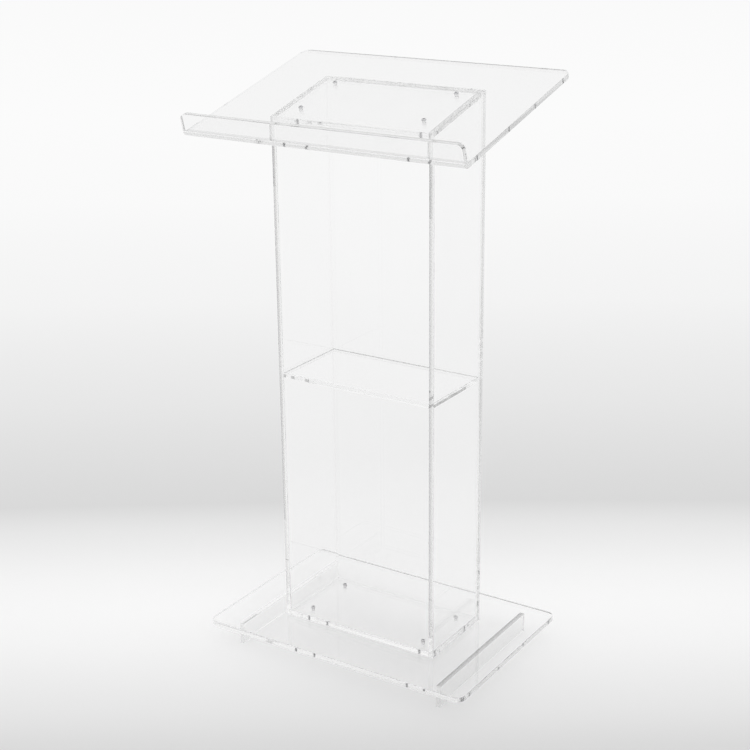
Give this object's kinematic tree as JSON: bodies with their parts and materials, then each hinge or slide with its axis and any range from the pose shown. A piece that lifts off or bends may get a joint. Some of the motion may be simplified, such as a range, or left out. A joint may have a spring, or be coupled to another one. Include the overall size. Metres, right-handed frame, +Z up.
{
  "type": "presentation lectern",
  "caption": "Free-standing lectern of clear acrylic sheet: sloped reading top with a paper lip, open-fronted box column with a shelf, and a flat base on runners.",
  "frame": {"origin": "on the floor, under the middle of the lectern as seen from above", "axes": "+Z up, -Y towards the speaker at the open front, +Y towards the audience, +X the speaker's right"},
  "size_m": [0.6, 0.4114, 1.172],
  "materials": {
    "clear_acrylic": "polished",
    "stainless_steel": "satin"
  },
  "bodies": {
    "root": {"base_plate": "clear_acrylic", "left_runner": "clear_acrylic", "right_runner": "clear_acrylic", "column_left_panel": "clear_acrylic", "column_right_panel": "clear_acrylic", "column_rear_panel": "clear_acrylic", "column_bottom_plate": "clear_acrylic", "column_top_plate": "clear_acrylic", "middle_shelf": "clear_acrylic", "reading_top": "clear_acrylic", "base_bolt_front_left": "stainless_steel", "base_bolt_front_right": "stainless_steel", "base_bolt_rear_left": "stainless_steel", "base_bolt_rear_right": "stainless_steel", "top_bolt_front_left": "stainless_steel", "top_bolt_front_right": "stainless_steel", "top_bolt_rear_left": "stainless_steel", "top_bolt_rear_right": "stainless_steel"}
  },
  "joints": []
}
